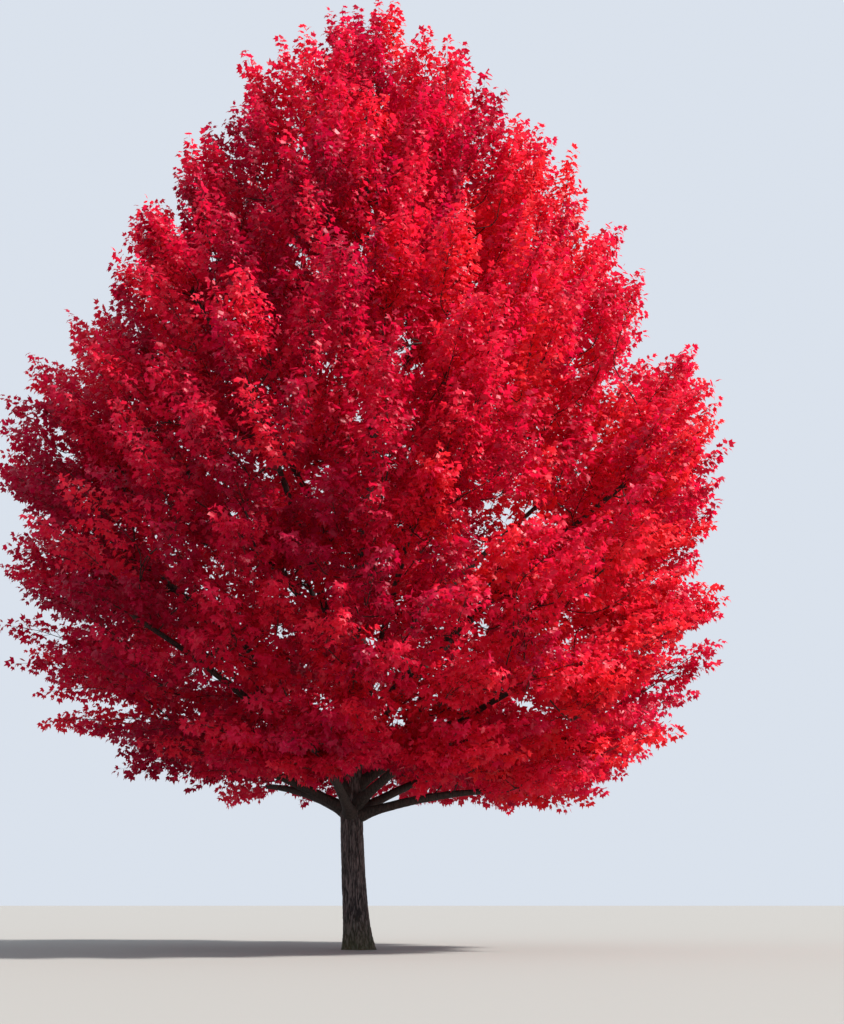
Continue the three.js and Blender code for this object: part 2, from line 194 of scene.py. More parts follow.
# The shoots on each plume
shoot_places = (0.02, 0.14, 0.27, 0.4, 0.53, 0.66)  # of the plume's axis, a pair of shoots at each
shoot_longest = 0.74
shoot_shortest = 0.14
shoot_fall = 1.1  # so the plume ends in a point
foot_angles = (math.radians(60), math.radians(42))  # of the lowest shoots from the axis, low and high up
tip_angles = (math.radians(34), math.radians(22))
shoot_curls = (0.4, 1.0)  # how far shoots turn towards the plume's own way, low and high up
shoot_sizes = (0.75, 1.25)
shoot_play = 0.5  # how far a shoot may turn off its place round the axis
terminal_share = 0.55  # where on the axis its last leafy stretch starts
flat_low = 0.2  # low plumes are flat layers: their upper and lower shoots, against those at the sides
branch_shoot_places = (0.25, 0.5, 0.7, 0.9)  # of a branch, a leafy shoot at each
branch_shoot = 0.45
branch_shoot_sizes = (0.6, 1.4)
branch_shoot_out = 1.2
branch_shoot_up = 0.3

# The leaves on each shoot, in pairs
leaf_spacing = 0.059
leafless_share = 0.12  # of a shoot, at its foot
leaf_crowding = 0.85  # under 1, so the leaves stand closer towards the shoot's tip
pair_shift = (0.6, 0.1)  # keeps the first and the last pair off the ends of the leafy stretch
last_pair = 0.97  # of the shoot, beyond which only its last leaf stands
leaf_play = 0.6  # how far a leaf may turn off its place round the shoot
leaf_length = 0.104
leaf_sizes = (0.75, 1.2)
leaf_shrink = 0.15  # how much smaller the leaves near the shoot's tip are
petiole_length = 0.05
petiole_sizes = (0.7, 1.3)
petiole_angle = math.radians(55)
last_angle = 0.15  # of the petiole at the shoot's tip
petiole_up = 0.15
leaf_droop = (0.3, 1.7)
leaf_up = 0.7  # how far the blades' faces turn up, and away from the plume's axis
leaf_around = 0.65
plume_round = 0.35
leaf_tilt = 1.0  # how much they differ
inner_spacing = 1.35  # leaves in the shade inside the crown are fewer and larger
inner_size = 1.2

# How the tints lie: the darker ones mostly low and on the left, as painted shade, and the brighter ones
# high and on the right, as painted light
tint_play = 0.2  # how much a shoot may differ from its plume
painted_light_weight = 0.5  # how much its place tells, against chance
painted_light_across = 0.16  # from left to right, with the middle tints at this x
tint_middle = 0.9
painted_light_upwards = 0.1  # and from low to high, with the middle ones at this share of the crown
tint_middle_rise = 0.4

# The picture: from a low eye height, 26 m off, the trunk's foot and the crown's top just fit
camera_place = (0.915, -25.8, 0.69)
camera_tilt = math.radians(12.45)
camera_lens = 61.8
key_turn = (math.radians(43), 0, math.radians(76))
key_strength = 7.2
key_softness = math.radians(6)
key_colour = (1.0, 0.96, 0.92)
sky_colour = "#dfe7f2"
sky_strength = 0.95
floor_size = 400
floor_colour = "#8e8c88"

rounding = 1e-9
hair = 1e-6  # keeps a direction from having no length
up = np.array([0.0, 0.0, 1.0])
sideways = np.array([1.0, 0.0, 0.0])


def chance(index, salt):
    """Repeatable numbers from 0 to 1."""
    wave = np.sin(np.asarray(index) * 12.9898 + salt * 78.233 + seed) * 43758.5453
    return wave - np.floor(wave)


def unit(vectors):
    """Vectors at length 1."""
    return vectors / np.maximum(np.linalg.norm(vectors, axis=-1, keepdims=True), rounding)


def dot(a, b):
    """The dot product of each pair of vectors."""
    return np.sum(a * b, axis=-1, keepdims=True)


def mix(low, high, share):
    """Part of the way from one value to another."""
    return low + (high - low) * share


def trunk_line(height):
    """The middle of the trunk, which is also the crown's middle, at each height."""
    height = np.asarray(height, float)
    fade = 1 - height / tree_height
    across = np.sin(np.pi * height / sway_across_height)
    deep = np.sin(np.pi * height / sway_deep_height)
    x = lean_at_top * height / tree_height - sway_across * across * fade
    return np.stack([x, sway_deep * deep * fade, height], axis=-1)


def trunk_radius_at(height):
    """The trunk's radius without its flare."""
    taper = (tree_height - height) / (tree_height - breast_height)
    return trunk_radius * taper**trunk_taper


def outline_radius(height):
    """The crown's radius, round and even."""
    height = np.clip(height, skirt_height, tree_height)
    above = np.clip((height - widest_height) / (tree_height - widest_height), 0, 1)
    below = np.clip((widest_height - height) / (widest_height - skirt_height), 0, 1)
    upper = (1 - above**top_curve) ** top_round
    return crown_radius * upper * (1 - skirt_tuck * below**skirt_curve)


def crown_point(azimuth, height, slimmer=0):
    """A point on the crown's outline, with its swells."""
    turn = height / swell_height
    waves = zip(swells_round, swells_wind)
    swell = sum(np.sin(count * azimuth + wind * turn) for count, wind in waves)
    radius = outline_radius(height) * (1 + 0.5 * crown_swell * swell) * (1 - slimmer)
    outwards = np.stack([np.cos(azimuth), np.sin(azimuth), 0 * azimuth], axis=-1)
    return trunk_line(height) + outwards * np.asarray(radius)[..., None]


def height_at_share(share):
    """The height below which a share of the crown's surface lies."""
    heights = np.linspace(skirt_height, tree_height, outline_steps + 1)
    radii = outline_radius(heights)
    slant = np.hypot(np.diff(heights), np.diff(radii))
    totals = np.concatenate([[0], np.cumsum((radii[1:] + radii[:-1]) * slant)])
    return np.interp(share, totals / totals[-1], heights)


def rise_of(height):
    """How high up the crown a height lies, from 0 to 1."""
    return np.clip((height - skirt_height) / (tree_height - skirt_height), 0, 1)


def curve_point(controls, t):
    """Points of a Bezier curve with three or four controls."""
    t = np.asarray(t, float)[..., None]
    while len(controls) > 1:
        controls = [mix(a, b, t) for a, b in zip(controls, controls[1:])]
    return controls[0]


def curve_way(controls, t):
    """The directions of a Bezier curve."""
    return unit(curve_point([b - a for a, b in zip(controls, controls[1:])], t))


def make_limbs():
    """Every limb's line from the trunk's middle to the crown's outline, and the leader's."""
    limbs = []
    for index in range(bough_count):
        share = mix(first_tip_share, last_tip_share, index / (bough_count - 1))
        end = crown_point(first_azimuth + index * golden_angle, height_at_share(share))
        rise = rise_of(end[2])
        foot = trunk_line(lowest_foot + (highest_foot - lowest_foot) * rise**foot_power)
        length = np.linalg.norm(end - foot)
        middle = mix(foot, end, 0.5) + up * length * mix(arch_low, arch_high, rise)
        limbs.append({
            "controls": [foot, middle, end],
            "foot_radius": bough_to_trunk * trunk_radius_at(foot[2]),
            "stem_from": bough_share,
            "length": length,
        })
    leader = [trunk_line(mix(trunk_end, tree_height, share)) for share in (0, 0.5, 1)]
    leader[1] = 2 * leader[1] - mix(leader[0], leader[2], 0.5)
    limbs.append({
        "controls": leader,
        "foot_radius": trunk_radius_at(trunk_end),
        "stem_from": 0.0,
        "length": tree_height - trunk_end,
    })
    for limb in limbs:
        limb["stem_to"] = 1 - plume_length / limb["length"]
        limb["line"] = curve_point(limb["controls"], np.linspace(0, 1, line_steps + 1))
    return limbs


def limb_radius_at(limb, t):
    """A limb's radius along its line."""
    return limb_end_radius + (limb["foot_radius"] - limb_end_radius) * (1 - t) ** limb_taper


def distance_to_line(points, line):
    """The least distance from each point to a row of straight stretches."""
    start, stretch = line[:-1], np.diff(line, axis=0)
    offset = points[:, None, :] - start
    along = np.clip(np.sum(offset * stretch, -1) / np.sum(stretch * stretch, -1), 0, 1)
    return np.linalg.norm(offset - along[..., None] * stretch, axis=-1).min(axis=1)


def open_share(azimuth, height):
    """How open the crown is: most low down on the left, and not at all high up or on the right."""
    return np.clip(1 - rise_of(height) / open_top, 0, 1) * (0.5 - 0.5 * np.cos(azimuth))


def way_out(number, azimuth, rise, opened):
    """The way a plume points: outwards low down, steeply up near the top, with some play. Where the
    crown is open its layers lie flatter."""
    pitch = mix(low_pitch, high_pitch, rise**pitch_power) * (1 - open_level * opened)
    pitch = pitch + pitch_spread * (chance(number, 2) - 0.5)
    heading = azimuth + heading_spread * (chance(number, 3) - 0.5)
    return unit(np.stack([np.cos(heading), np.sin(heading), np.tan(pitch)], axis=-1))


def lifted_skirt(points, azimuth):
    """Points with the crown's underside lifted towards its edge, most of all on the left."""
    clear = mix(skirt_clear[1], skirt_clear[0], 0.5 + 0.5 * np.cos(azimuth))
    edge = np.hypot(points[:, 0], points[:, 1]) / crown_radius
    lift = clear * edge**2 * (1 - rise_of(points[:, 2])) ** skirt_power
    return points + lift[:, None] * up


def gathered_spires(azimuth, height):
    """High plumes drawn together into spires, which stand in rows that wind round the crown, and how far
    those between two spires stay back."""
    upper = np.clip((rise_of(height) - spires_from) / (spires_full - spires_from), 0, 1)
    across = spires_round * azimuth + height
    along = 2 * np.pi * height / spire_rise + spire_wind * azimuth
    apart = 0.5 - 0.25 * np.cos(across) - 0.25 * np.cos(along)
    azimuth = azimuth - spire_pull * upper * np.sin(across) / spires_round
    height = height - spire_pull * upper * np.sin(along) * spire_rise / (2 * np.pi)
    return azimuth, height, spire_notch * upper * apart


def above_floor(start):
    """Starts of plumes, none of them too low, as near the trunk the boughs are bare."""
    bare = bare_rise * np.exp(-(start[:, 0] ** 2 + start[:, 1] ** 2) / bare_radius**2)
    least = plume_floor + bare
    return np.stack([start[:, 0], start[:, 1], np.maximum(start[:, 2], least)], axis=-1)


def place_outer():
    """The plumes of the crown's outside, by the solids' rule. Low ones gather in layers and high ones in
    spires, their tips lie at uneven depths, and some are missing on the left, where the sky shows."""
    index = np.arange(plume_count)
    azimuth = index * golden_angle + azimuth_play * chance(index, 1)
    height = height_at_share((index + 0.5) / plume_count)
    azimuth, height, notch = gathered_spires(azimuth, height)
    merging = np.clip(1 - rise_of(height) / tier_top, 0, 1)
    wander = tier_wander[0] * np.sin(2 * azimuth + 1) + tier_wander[1] * np.sin(3 * azimuth)
    pull = np.sin(2 * np.pi * (height / tier_spacing + wander)) * tier_spacing / (2 * np.pi)
    height = height - tier_pull * merging * pull
    shoulder = mix(*shoulder_sink, 0.5 + 0.5 * np.cos(azimuth))
    shoulder = shoulder * np.exp(-(((height - shoulder_height) / shoulder_spread) ** 2))
    tip = lifted_skirt(crown_point(azimuth, height, shoulder), azimuth)
    rise = rise_of(tip[:, 2])
    opened = open_share(azimuth, tip[:, 2])
    way = way_out(index, azimuth, rise, opened)
    deep = index % deep_every == deep_every - 1
    most = mix(sink_low, sink_high, rise**sink_rise)
    sink = mix(sink_least, most, chance(index, 6) ** sink_power)
    length = plume_length * (1 - plume_spread * chance(index, 4))
    start = above_floor(tip - way * (sink + notch + deep_layer * deep + length)[:, None])
    kept = chance(index, 7) > open_missing * opened
    outer = {"start": start, "way": way, "length": length, "inside": deep, "opened": opened}
    return {key: value[kept] for key, value in outer.items()}


def place_inner():
    """Plumes half-way in, by the same rule, in the shade of the outer ones. They keep the sky from
    showing through the middle of the crown."""
    index = np.arange(inner_count)
    number = plume_count + index
    azimuth = index * golden_angle + azimuth_play * chance(number, 1)
    height = inner_top * height_at_share((index + 0.5) / inner_count)
    slimmer = mix(*inner_slimmer, chance(number, 6))
    height = height + bare_rise * (1 - rise_of(height)) ** 2
    tip = crown_point(azimuth, height, slimmer)
    opened = open_share(azimuth, height)
    way = way_out(number, azimuth, rise_of(height), opened)
    length = inner_length * (1 - plume_spread * chance(number, 4))
    start = above_floor(tip - way * length[:, None])
    kept = chance(number, 7) > open_missing * opened
    inside = np.full(inner_count, True)
    inner = {"start": start, "way": way, "length": length, "inside": inside, "opened": opened}
    return {key: value[kept] for key, value in inner.items()}


def make_plumes(limbs):
    """Where each plume's axis starts, the way it points, its length, whether it is in the shade inside
    the crown, and the limb that bears it. Every limb ends in a plume, and these come first."""
    ends = {
        "start": np.array([curve_point(limb["controls"], limb["stem_to"]) for limb in limbs]),
        "way": np.array([curve_way(limb["controls"], limb["stem_to"]) for limb in limbs]),
        "length": np.full(len(limbs), end_length),
        "inside": np.full(len(limbs), False),
        "opened": np.zeros(len(limbs)),
    }
    places = [ends, place_outer(), place_inner()]
    plumes = {key: np.concatenate([group[key] for group in places]) for key in ends}
    place = plumes["start"] + owner_place * plume_length * plumes["way"]
    distances = np.stack([distance_to_line(place, limb["line"]) for limb in limbs])
    plumes["owner"] = distances.argmin(axis=0)
    return plumes


def grow_branches(limbs, plumes):
    """The branch that carries each plume, from the wood that it best grows from: near, and not behind
    the wood's own way. Each branch is as thick as the number of plumes beyond it asks."""
    count = len(plumes["start"])
    controls = np.zeros((count, 4, 3))
    parent = np.full(count, -1)
    order = []
    for number, limb in enumerate(limbs):
        shares = np.linspace(wood_from * limb["stem_from"], limb["stem_to"], wood_nodes + 2)[1:-1]
        points = list(curve_point(limb["controls"], shares))
        ways = list(curve_way(limb["controls"], shares))
        bearers = [-1] * wood_nodes
        mine = np.flatnonzero(plumes["owner"] == number)
        root = curve_point(limb["controls"], limb["stem_from"])
        mine = mine[np.argsort(np.linalg.norm(plumes["start"][mine] - root, axis=1))]
        for plume in mine:
            if plume < len(limbs):
                continue
            place = plumes["start"][plume]
            reach = place - np.array(points)
            length = np.linalg.norm(reach, axis=1)
            agree = np.sum(reach * np.array(ways), axis=1) / length
            best = int(np.argmin(length * (sideways_cost - agree)))
            bend = branch_bend * length[best]
            lead_in = points[best] + ways[best] * bend
            lead_out = place - plumes["way"][plume] * bend
            controls[plume] = points[best], lead_in, lead_out, place
            parent[plume] = bearers[best]
            order.append(plume)
            for share in branch_nodes:
                points.append(curve_point(list(controls[plume]), share))
                ways.append(curve_way(list(controls[plume]), share))
                bearers.append(plume)
    load = np.ones(count)
    for plume in reversed(order):
        if parent[plume] >= 0:
            load[parent[plume]] += load[plume]
    return {"controls": controls, "load": load, "plumes": np.array(order)}


def frames_along(paths):
    """Two directions square to each path at each of its rings, the first one level where it can be."""
    way = unit(np.gradient(paths, axis=1))
    overall = unit(paths[:, -1] - paths[:, 0])
    guide = np.where(np.abs(overall[:, 2:]) > steep, sideways, up)[:, None, :]
    across = unit(np.cross(way, guide))
    return across, np.cross(across, way)


def tubes(paths, radii, sides):
    """Closed round tubes along paths, all with the same number of rings. The last ring is a point."""
    count, rings = radii.shape
    across, deep = frames_along(paths)
    angle = np.arange(sides) * 2 * np.pi / sides
    ring = across[:, :-1, None] * np.cos(angle)[:, None] + deep[:, :-1, None] * np.sin(angle)[:, None]
    skin = paths[:, :-1, None] + ring * radii[:, :-1, None, None]
    points = np.concatenate([skin.reshape(count, -1, 3), paths[:, -1:]], axis=1)
    first = np.arange(rings - 2)[:, None] * sides + np.arange(sides)
    after = np.arange(rings - 2)[:, None] * sides + (np.arange(sides) + 1) % sides
    quads = np.stack([first, first + sides, after + sides, after], axis=-1).reshape(-1, 4)
    last = (rings - 2) * sides
    around = np.arange(sides)
    tip = np.stack([last + around, np.full(sides, last + sides), last + (around + 1) % sides], axis=-1)
    foot = around[None, :]
    start = (np.arange(count) * points.shape[1])[:, None, None]
    faces = [(group + start).reshape(-1, group.shape[-1]) for group in (quads, tip, foot)]
    return points.reshape(-1, 3), faces


def joined(parts):
    """Several sets of points and faces as one."""
    points, faces, total = [], [], 0
    for part_points, part_faces in parts:
        points.append(part_points)
        faces += [group + total for group in part_faces]
        total += len(part_points)
    return np.concatenate(points), faces


def mesh_piece(name, points, faces, material, smooth):
    """A mesh object from points and groups of faces."""
    corners = np.concatenate([group.ravel() for group in faces])
    sizes = np.concatenate([np.full(len(group), group.shape[1]) for group in faces])
    starts = np.concatenate([[0], np.cumsum(sizes)[:-1]])
    mesh = bpy.data.meshes.new(name)
    mesh.vertices.add(len(points))
    mesh.vertices.foreach_set("co", points.astype(np.float32).ravel())
    mesh.loops.add(len(corners))
    mesh.loops.foreach_set("vertex_index", corners.astype(np.int32))
    mesh.polygons.add(len(sizes))
    mesh.polygons.foreach_set("loop_start", starts.astype(np.int32))
    mesh.polygons.foreach_set("use_smooth", np.full(len(sizes), smooth))
    mesh.update(calc_edges=True)
    mesh.materials.append(material)
    piece = bpy.data.objects.new(name, mesh)
    bpy.context.scene.collection.objects.link(piece)
    return piece


def make_shoots(plumes, branches):
    """The pairs of shoots along each plume's axis, the shoot that the axis ends in, and single shoots
    along the branch that bears it, each as a curve of three controls."""
    start, way, length = plumes["start"], plumes["way"], plumes["length"]
    count = len(start)
    rise = rise_of(start[:, 2])
    lift = mix(plume_lift_low, plume_lift_high, rise)[:, None] * up * length[:, None]
    axis = [start, start + way * length[:, None] * 0.5, start + way * length[:, None] + lift]
    flat = mix(flat_low, 1, np.sqrt(rise))
    level = np.cross(way, up)
    short = np.linalg.norm(level, axis=1, keepdims=True) < plumb
    level = unit(np.where(short, sideways, level))
    shoots = {"controls": [], "plume": [], "inside": []}
    number = np.arange(count)
    roll = 2 * np.pi * chance(number, 5) * rise
    for order, place in enumerate(shoot_places):
        root = curve_point(axis, place)
        along = curve_way(axis, place)
        side = unit(level - dot(level, along) * along)
        high = np.cross(side, along)
        for hand in (0, 1):
            salt = 10 + 2 * order + hand
            turn = roll + np.pi * (hand + 0.5 * order) + shoot_play * (chance(number, salt) - 0.5)
            angle = mix(mix(*foot_angles, rise), mix(*tip_angles, rise), place)[:, None]
            radial = side * np.cos(turn)[:, None] + high * np.sin(turn)[:, None]
            out = along * np.cos(angle) + radial * np.sin(angle)
            reach = mix(shoot_shortest, shoot_longest, (1 - place) ** shoot_fall)
            flatness = mix(1, flat, np.abs(np.sin(turn)))
            size = mix(*shoot_sizes, chance(number, salt + 20))
            reach = (reach * flatness * size * length / plume_length)[:, None]
            middle = root + out * reach * 0.5
            turned = unit(out + mix(*shoot_curls, rise)[:, None] * (along + lift))
            shoots["controls"].append(np.stack([root, middle, middle + turned * reach * 0.5], axis=1))
            shoots["plume"].append(number)
            shoots["inside"].append(plumes["inside"])
    root = curve_point(axis, terminal_share)
    last = curve_point(axis, 1.0)
    shoots["controls"].append(np.stack([root, mix(root, last, 0.5), last], axis=1))
    shoots["plume"].append(number)
    shoots["inside"].append(plumes["inside"])
    borne = branches["plumes"]
    controls = [branches["controls"][borne, i] for i in range(4)]
    for order, place in enumerate(branch_shoot_places):
        root = curve_point(controls, np.full(len(borne), place))
        along = curve_way(controls, np.full(len(borne), place))
        turn = 2 * np.pi * chance(borne, 60 + order)
        side = unit(np.cross(along, up) + hair)
        radial = side * np.cos(turn)[:, None] + np.cross(side, along) * np.sin(turn)[:, None]
        radial[:, 2] = np.abs(radial[:, 2])
        reach = branch_shoot * mix(*branch_shoot_sizes, chance(borne, 64 + order))[:, None]
        middle = root + unit(along + branch_shoot_out * radial) * reach * 0.5
        last = middle + unit(along + radial + branch_shoot_up * up) * reach * 0.5
        shoots["controls"].append(np.stack([root, middle, last], axis=1))
        shoots["plume"].append(borne)
        shoots["inside"].append(np.full(len(borne), True))
    return axis, {key: np.concatenate(value) for key, value in shoots.items()}


def make_leaves(plumes, shoots):
    """A pair of leaves at every leaf spacing along each shoot and one leaf at its tip, as the petiole's
    foot, the blade's base, its three directions and its size. A leaf faces up and away from its
    plume's axis, so each plume is lit as one rounded form."""
    controls = shoots["controls"]
    length = np.linalg.norm(controls[:, 2] - controls[:, 0], axis=1)
    spacing = leaf_spacing * np.where(shoots["inside"], inner_spacing, 1)
    spacing = spacing * (1 + open_spacing * plumes["opened"][shoots["plume"]])
    pairs = np.maximum(2, np.round(length * (1 - leafless_share) / spacing)).astype(int)
    leaves = 2 * pairs + 1
    shoot = np.repeat(np.arange(len(controls)), leaves)
    order = np.arange(leaves.sum()) - np.repeat(np.cumsum(leaves) - leaves, leaves)
    number = np.arange(leaves.sum())
    pair = order // 2
    hand = order % 2
    last = order == leaves[shoot] - 1
    t = (pair + pair_shift[0]) / (pairs[shoot] + pair_shift[1])
    t = mix(leafless_share, 1, t**leaf_crowding)
    t = np.where(last, 1.0, np.minimum(t, last_pair))
    bearing = [controls[shoot, i] for i in range(3)]
    foot = curve_point(bearing, t)
    along = curve_way(bearing, t)
    level = unit(np.cross(along, up) + hair)
    high = np.cross(level, along)
    turn = np.pi * (hand + 0.5 * pair) + leaf_play * (chance(number, 31) - 0.5)
    radial = level * np.cos(turn)[:, None] + high * np.sin(turn)[:, None]
    angle = np.where(last, last_angle, petiole_angle)[:, None]
    petiole = unit(along * np.cos(angle) + radial * np.sin(angle) + petiole_up * up)
    reach = petiole_length * mix(*petiole_sizes, chance(number, 32))[:, None]
    base = foot + petiole * reach
    droop = mix(*leaf_droop, chance(number, 33))[:, None]
    blade = unit(petiole - droop * up)
    tilt = np.stack([chance(number, 34), chance(number, 35), chance(number, 36)], axis=-1) - 0.5
    bearer = shoots["plume"][shoot]
    offset = foot - plumes["start"][bearer]
    around = offset - dot(offset, plumes["way"][bearer]) * plumes["way"][bearer]
    around = around / plume_round
    around = around / np.maximum(1, np.linalg.norm(around, axis=1, keepdims=True))
    face = leaf_up * up + leaf_around * around + leaf_tilt * tilt
    across = unit(np.cross(blade, face))
    face = np.cross(across, blade)
    size = leaf_length * mix(*leaf_sizes, chance(number, 37)) * (1 - leaf_shrink * t)
    size = size * np.where(shoots["inside"][shoot], inner_size, 1)
    return {"foot": foot, "base": base, "across": across, "blade": blade, "face": face,
            "size": size, "shoot": shoot}


# A leaf's right half, from the blade's base to its tip: a small lobe, a large lobe and the notch above
leaf_half = np.array([
    [0.42, 0.02, -0.05],
    [0.57, 0.58, -0.02],
    [0.19, 0.52, 0.06],
])
leaf_tip = np.array([[0.0, 1.0, -0.1]])
petiole_end = np.array([[-0.02, 0.06, -0.04], [0.02, 0.06, -0.04]])
# Five faces make the blade, and the last one is the petiole
leaf_faces = np.array([
    [3, 0, 2], [3, 2, 5], [0, 1, 2], [3, 5, 4], [5, 2, 6],
    [9, 8, 7],
])


def leaf_mesh(leaves, chosen):
    """The chosen leaves' points and faces."""
    left = leaf_half * np.array([-1, 1, 1])
    outline = np.concatenate([leaf_half, left, leaf_tip, petiole_end])
    size = leaves["size"][chosen, None, None]
    across = leaves["across"][chosen, None, :] * outline[:, 0, None]
    along = leaves["blade"][chosen, None, :] * outline[:, 1, None]
    lift = leaves["face"][chosen, None, :] * outline[:, 2, None]
    blade = leaves["base"][chosen, None, :] + (across + along + lift) * size
    points = np.concatenate([blade, leaves["foot"][chosen, None, :]], axis=1)
    start = (np.arange(len(chosen)) * points.shape[1])[:, None, None]
    return points.reshape(-1, 3), [(leaf_faces + start).reshape(-1, 3)]


def linear(colour):
    """An sRGB hex colour as linear red, green, blue and alpha."""
    channels = [int(colour[i:i + 2], 16) / 255 for i in (1, 3, 5)]
    return [c / 12.92 if c <= 0.04045 else ((c + 0.055) / 1.055) ** 2.4 for c in channels] + [1.0]


def add_node(tree, kind, links=(), **settings):
    """A node with its settings. Names of sockets in settings are set as values, and links gives pairs of
    an input's name and the output that feeds it."""
    node = tree.nodes.new(kind)
    for name, value in settings.items():
        if hasattr(node, name):
            setattr(node, name, value)
        else:
            node.inputs[name.replace("_", " ")].default_value = value
    for name, output in links:
        tree.links.new(output, node.inputs[name])
    return node


def new_material(name):
    """A material with an empty node tree."""
    material = bpy.data.materials.new(name)
    material.use_nodes = True
    material.node_tree.nodes.clear()
    return material, material.node_tree


def maple_leaf(name, colour, glow):
    """Autumn maple leaf, a thin waxy blade: a soft sheen on its face, and light that comes through it
    brighter than its surface colour."""
    material, tree = new_material(name)
    surface = add_node(tree, "ShaderNodeBsdfPrincipled", Base_Color=linear(colour), Roughness=0.42,
                       Specular_IOR_Level=0.3)
    through = add_node(tree, "ShaderNodeBsdfTranslucent", Color=linear(glow))
    both = add_node(tree, "ShaderNodeMixShader", Fac=0.45)
    tree.links.new(surface.outputs[0], both.inputs[1])
    tree.links.new(through.outputs[0], both.inputs[2])
    add_node(tree, "ShaderNodeOutputMaterial", [("Surface", both.outputs[0])])
    return material


def bark(name, plate, furrow, grain, moss=None):
    """Maple bark, grown and weathered: dull grey-brown plates over near-black furrows, and on the old
    bark a breath of moss low down. Painted shade darkens the furrows the deeper they lie in the relief,
    where the mesh keeps it."""
    material, tree = new_material(name)
    place = add_node(tree, "ShaderNodeTexCoord")
    streaks = add_node(tree, "ShaderNodeMapping", [("Vector", place.outputs["Object"])], Scale=bark_streaks)
    fine = add_node(tree, "ShaderNodeTexNoise", [("Vector", streaks.outputs[0])], Scale=1 / grain, Detail=6)
    relief = add_node(tree, "ShaderNodeAttribute", attribute_name="furrow")
    # painted shade: the deeper a furrow in the relief, the nearer its colour comes to the near-black furrow
    # colour
    deep = add_node(tree, "ShaderNodeMath", [(0, relief.outputs["Fac"])], operation="MULTIPLY")
    deep.inputs[1].default_value = painted_furrow_shade
    shade = add_node(tree, "ShaderNodeMath", [(0, fine.outputs[0]), (1, deep.outputs[0])],
                     operation="SUBTRACT")
    ramp = add_node(tree, "ShaderNodeValToRGB", [("Fac", shade.outputs[0])])
    ramp.color_ramp.elements[0].position = shade_from
    ramp.color_ramp.elements[0].color = linear(furrow)
    ramp.color_ramp.elements[1].position = shade_to
    ramp.color_ramp.elements[1].color = linear(plate)
    colour = ramp.outputs[0]
    if moss:
        height = add_node(tree, "ShaderNodeSeparateXYZ", [("Vector", place.outputs["Object"])])
        low = add_node(tree, "ShaderNodeMapRange", [("Value", height.outputs["Z"])], From_Max=moss_top)
        low.inputs["To Min"].default_value = 1
        low.inputs["To Max"].default_value = 0
        patches = add_node(tree, "ShaderNodeMath", [(0, low.outputs[0]), (1, fine.outputs[0])],
                           operation="MULTIPLY")
        mossy = add_node(tree, "ShaderNodeMixRGB", [("Fac", patches.outputs[0]), ("Color1", colour)],
                         Color2=linear(moss))
        colour = mossy.outputs[0]
    bump = add_node(tree, "ShaderNodeBump", [("Height", fine.outputs[0])], Strength=0.6,
                    Distance=grain_depth)
    surface = add_node(tree, "ShaderNodeBsdfPrincipled", [("Base Color", colour)], Roughness=0.9)
    tree.links.new(bump.outputs[0], surface.inputs["Normal"])
    add_node(tree, "ShaderNodeOutputMaterial", [("Surface", surface.outputs[0])])
    return material


def bark_relief(point):
    """How deep the bark is furrowed between its long plates, from 0 to 1, and how its flakes stand."""
    spot = Vector(point) / furrow_spacing
    spot.z /= furrow_stretch
    wander = furrow_wander * noise.noise(spot / wander_stretch + Vector((5, 9, 2)))
    furrow = max(0.0, 1 - furrow_narrow * abs(noise.noise(spot + Vector((wander, wander, 0)))))
    flake = noise.noise(Vector([place * rate for place, rate in zip(point, flakes_per_metre)]))
    return furrow, flake


def keep_furrows(piece, furrows):
    """The furrows' depth, kept on the mesh for its material, which paints the deeper furrows darker as
    shade.
    """
    attribute = piece.data.attributes.new("furrow", "FLOAT", "POINT")
    attribute.data.foreach_set("value", furrows)


def model_trunk(material):
    """The trunk with its flare: a cylinder cut into rings, whose points then go to the trunk's skin."""
    bpy.ops.object.select_all(action="DESELECT")
    bpy.ops.mesh.primitive_cylinder_add(vertices=trunk_sides, radius=1, depth=1, location=(0, 0, 0))
    trunk = bpy.context.object
    trunk.name = "trunk_with_bark"
    bpy.ops.object.mode_set(mode="EDIT")
    bpy.ops.mesh.select_mode(type="EDGE")
    bpy.ops.mesh.select_all(action="DESELECT")
    bpy.ops.object.mode_set(mode="OBJECT")
    for cuts in trunk_cuts:
        for edge in trunk.data.edges:
            low, high = (trunk.data.vertices[i].co.z for i in edge.vertices)
            edge.select = abs(high - low) > least_rise
        bpy.ops.object.mode_set(mode="EDIT")
        bpy.ops.mesh.subdivide(number_cuts=cuts)
        bpy.ops.mesh.select_all(action="DESELECT")
        bpy.ops.object.mode_set(mode="OBJECT")
    furrows = []
    for vertex in trunk.data.vertices:
        height = trunk_end * (vertex.co.z + 0.5) ** trunk_ring_power
        angle = math.atan2(vertex.co.y, vertex.co.x)
        lobes = 1 + flare_depth * math.cos(flare_lobes * angle)
        radius = trunk_radius_at(height) + flare_radius * math.exp(-height / flare_fade) * lobes
        outwards = Vector((math.cos(angle), math.sin(angle), 0))
        skin = Vector(trunk_line(height)) + outwards * radius
        age = max(young_bark, 1 - height / furrow_fade)
        furrow, flake = bark_relief(skin)
        vertex.co = skin - outwards * age * (furrow_depth * furrow + flake_depth * flake)
        furrows.append(age * furrow)
    keep_furrows(trunk, furrows)
    trunk.data.materials.append(material)
    bpy.ops.object.shade_smooth_by_angle(angle=smooth_angle)
    return trunk


